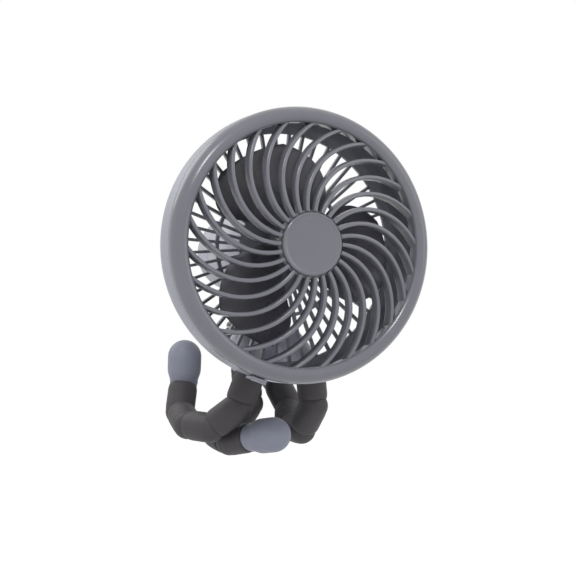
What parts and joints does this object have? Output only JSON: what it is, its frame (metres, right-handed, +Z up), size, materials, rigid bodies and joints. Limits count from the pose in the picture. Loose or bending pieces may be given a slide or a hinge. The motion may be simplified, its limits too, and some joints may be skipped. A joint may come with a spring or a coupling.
{
  "type": "portable fan",
  "caption": "Round caged fan with a rear battery pod and tilting neck, on three bendable ball-jointed legs that wrap round a bar.",
  "frame": {"origin": "middle of the gripped bar, under the leg hub", "axes": "+Z up, X along the gripped bar, the fan faces -Y"},
  "size_m": [0.15, 0.1321, 0.1921],
  "materials": {
    "front_plastic": "satin",
    "drum_plastic": "satin",
    "pod_plastic": "fine texture",
    "blade_plastic": "satin",
    "leg_rubber": "matte",
    "tip_rubber": "matte",
    "bright_steel": "plated",
    "dark_steel": "zinc plated",
    "contact_brass": "bare",
    "cell_wrap": "shrink wrap",
    "board_green": "lacquered",
    "lens_clear": "frosted",
    "black_rubber": "matte"
  },
  "bodies": {
    "base": {"neck_fork": "blade_plastic", "fork_screw_1": "dark_steel", "fork_screw_2": "dark_steel", "tilt_washer_1": "black_rubber", "tilt_washer_2": "black_rubber", "tilt_bolt": "dark_steel", "tilt_nut": "dark_steel", "hub_lid": "blade_plastic", "hub_body": "leg_rubber"},
    "head": {"front_grille": "front_plastic", "hub_cap": "front_plastic", "rear_housing": "drum_plastic", "grille_latch": "drum_plastic", "motor_can": "bright_steel", "motor_end_cap": "black_rubber", "motor_terminal_1": "contact_brass", "motor_terminal_2": "contact_brass", "motor_gasket": "black_rubber", "motor_screw_1": "dark_steel", "motor_screw_2": "dark_steel", "pod_shell": "pod_plastic", "pod_cap": "pod_plastic", "pod_screw_1": "dark_steel", "pod_screw_2": "dark_steel", "pod_screw_3": "dark_steel", "battery_cell": "cell_wrap", "battery_tab_1": "bright_steel", "battery_tab_2": "bright_steel", "circuit_board": "board_green", "board_screw_1": "dark_steel", "board_screw_2": "dark_steel", "board_switch": "black_rubber", "lamp_lens": "lens_clear", "charging_socket": "bright_steel"},
    "impeller": {"impeller": "blade_plastic", "motor_shaft": "bright_steel"},
    "button": {"power_button": "front_plastic"},
    "leg_a_1": {"leg_a_link_1": "pod_plastic"},
    "leg_a_2": {"leg_a_link_2": "leg_rubber"},
    "leg_a_3": {"leg_a_link_3": "leg_rubber"},
    "leg_a_4": {"leg_a_link_4": "leg_rubber"},
    "leg_a_5": {"leg_a_link_5": "leg_rubber"},
    "leg_a_6": {"leg_a_link_6": "leg_rubber"},
    "leg_a_7": {"leg_a_tip": "tip_rubber"},
    "leg_b_1": {"leg_b_link_1": "pod_plastic"},
    "leg_b_2": {"leg_b_link_2": "leg_rubber"},
    "leg_b_3": {"leg_b_link_3": "leg_rubber"},
    "leg_b_4": {"leg_b_link_4": "leg_rubber"},
    "leg_b_5": {"leg_b_link_5": "leg_rubber"},
    "leg_b_6": {"leg_b_link_6": "leg_rubber"},
    "leg_b_7": {"leg_b_tip": "tip_rubber"},
    "leg_c_1": {"leg_c_link_1": "pod_plastic"},
    "leg_c_2": {"leg_c_link_2": "leg_rubber"},
    "leg_c_3": {"leg_c_link_3": "leg_rubber"},
    "leg_c_4": {"leg_c_link_4": "leg_rubber"},
    "leg_c_5": {"leg_c_link_5": "leg_rubber"},
    "leg_c_6": {"leg_c_link_6": "leg_rubber"},
    "leg_c_7": {"leg_c_tip": "tip_rubber"}
  },
  "joints": [
    {"name": "head_tilt", "type": "hinge", "parent": "base", "child": "head", "pos_m": [0, 0, 0.041], "axis": [1, 0, 0], "range_deg": [-30, 0]},
    {"name": "impeller_spin", "type": "hinge", "parent": "head", "child": "impeller", "pos_m": [0, -0.05, 0.071], "axis": [0, 1, 0], "continuous": true},
    {"name": "power_press", "type": "slide", "parent": "head", "child": "button", "axis": [0, -1, 0], "range_m": [0, 0.0008], "stiffness_N_per_m": 900, "springref_m": -0.0008},
    {"name": "leg_a_bend_1", "type": "hinge", "parent": "base", "child": "leg_a_1", "pos_m": [-0.01433, -0.01708, 0.0172], "axis": [0.1284, -0.8254, 0.5497], "range_deg": [-27, 1]},
    {"name": "leg_a_bend_2", "type": "hinge", "parent": "leg_a_1", "child": "leg_a_2", "pos_m": [-0.0143, -0.02817, 0.00055], "axis": [0.8697, 0.4116, -0.2722], "range_deg": [-17, 1]},
    {"name": "leg_a_bend_3", "type": "hinge", "parent": "leg_a_2", "child": "leg_a_3", "pos_m": [-0.02108, -0.0262, -0.01816], "axis": [0.7157, 0.6724, -0.189], "range_deg": [-13, 1]},
    {"name": "leg_a_bend_4", "type": "hinge", "parent": "leg_a_3", "child": "leg_a_4", "pos_m": [-0.03371, -0.01607, -0.02991], "axis": [0.7714, 0.3291, -0.5447], "range_deg": [-47, 1]},
    {"name": "leg_a_bend_5", "type": "hinge", "parent": "leg_a_4", "child": "leg_a_5", "pos_m": [-0.04106, 0.0025, -0.0291], "axis": [0.5243, 0.2431, -0.8161], "range_deg": [-30, 1]},
    {"name": "leg_a_bend_6", "type": "hinge", "parent": "leg_a_5", "child": "leg_a_6", "pos_m": [-0.0397, 0.02137, -0.02261], "axis": [0.9567, 0.0306, -0.2893], "range_deg": [-47, 1]},
    {"name": "leg_a_bend_7", "type": "hinge", "parent": "leg_a_6", "child": "leg_a_7", "pos_m": [-0.03462, 0.02927, -0.00496], "axis": [0.8945, -0.4432, -0.0593], "range_deg": [-39, 1]},
    {"name": "leg_b_bend_1", "type": "hinge", "parent": "base", "child": "leg_b_1", "pos_m": [0.01433, -0.01708, 0.0172], "axis": [0.7892, 0.613, 0.0377], "range_deg": [-5, 1]},
    {"name": "leg_b_bend_2", "type": "hinge", "parent": "leg_b_1", "child": "leg_b_2", "pos_m": [0.02263, -0.02682, 0.00183], "axis": [0.7923, 0.6087, 0.0421], "range_deg": [-35, 1]},
    {"name": "leg_b_bend_3", "type": "hinge", "parent": "leg_b_2", "child": "leg_b_3", "pos_m": [0.02428, -0.02759, -0.01809], "axis": [0.978, 0.1952, 0.0735], "range_deg": [-8, 1]},
    {"name": "leg_b_bend_4", "type": "hinge", "parent": "leg_b_3", "child": "leg_b_4", "pos_m": [0.02261, -0.01381, -0.03249], "axis": [0.9917, -0.0134, -0.1279], "range_deg": [-49, 1]},
    {"name": "leg_b_bend_5", "type": "hinge", "parent": "leg_b_4", "child": "leg_b_5", "pos_m": [0.023, 0.00617, -0.03161], "axis": [0.8615, 0.0058, -0.5077], "range_deg": [-4, 1]},
    {"name": "leg_b_bend_6", "type": "hinge", "parent": "leg_b_5", "child": "leg_b_6", "pos_m": [0.02915, 0.02196, -0.02099], "axis": [0.5233, -0.6062, 0.5989], "range_deg": [-36, 1]},
    {"name": "leg_b_bend_7", "type": "hinge", "parent": "leg_b_6", "child": "leg_b_7", "pos_m": [0.02492, 0.03374, -0.00539], "axis": [0.977, 0.1517, 0.15], "range_deg": [-49, 1]},
    {"name": "leg_c_bend_1", "type": "hinge", "parent": "base", "child": "leg_c_1", "pos_m": [0, 0.0223, 0.0172], "axis": [-0.7394, -0.4761, -0.4761], "range_deg": [-20, 0.5]},
    {"name": "leg_c_bend_2", "type": "hinge", "parent": "leg_c_1", "child": "leg_c_2", "pos_m": [0.0047, 0.0319, 0.0003], "axis": [-0.9653, 0.2169, -0.1453], "range_deg": [-32, 0.5]},
    {"name": "leg_c_bend_3", "type": "hinge", "parent": "leg_c_2", "child": "leg_c_3", "pos_m": [0.0075, 0.0311, -0.01949], "axis": [-0.2307, 0.9704, -0.0719], "range_deg": [-49, 0.5]},
    {"name": "leg_c_bend_4", "type": "hinge", "parent": "leg_c_3", "child": "leg_c_4", "pos_m": [-0.00513, 0.02699, -0.03444], "axis": [-0.6568, 0.6541, 0.3751], "range_deg": [-49, 0.5]},
    {"name": "leg_c_bend_5", "type": "hinge", "parent": "leg_c_4", "child": "leg_c_5", "pos_m": [-0.01962, 0.01328, -0.0359], "axis": [0.0131, -0.1197, 0.9927], "range_deg": [-3, 0.5]},
    {"name": "leg_c_bend_6", "type": "hinge", "parent": "leg_c_5", "child": "leg_c_6", "pos_m": [-0.0187, -0.00655, -0.03831], "axis": [-0.6151, -0.1231, 0.7788], "range_deg": [-26, 0.5]},
    {"name": "leg_c_bend_7", "type": "hinge", "parent": "leg_c_6", "child": "leg_c_7", "pos_m": [-0.01087, -0.02466, -0.03499], "axis": [0.2799, 0.2887, 0.9156], "range_deg": [-5, 1]}
  ]
}
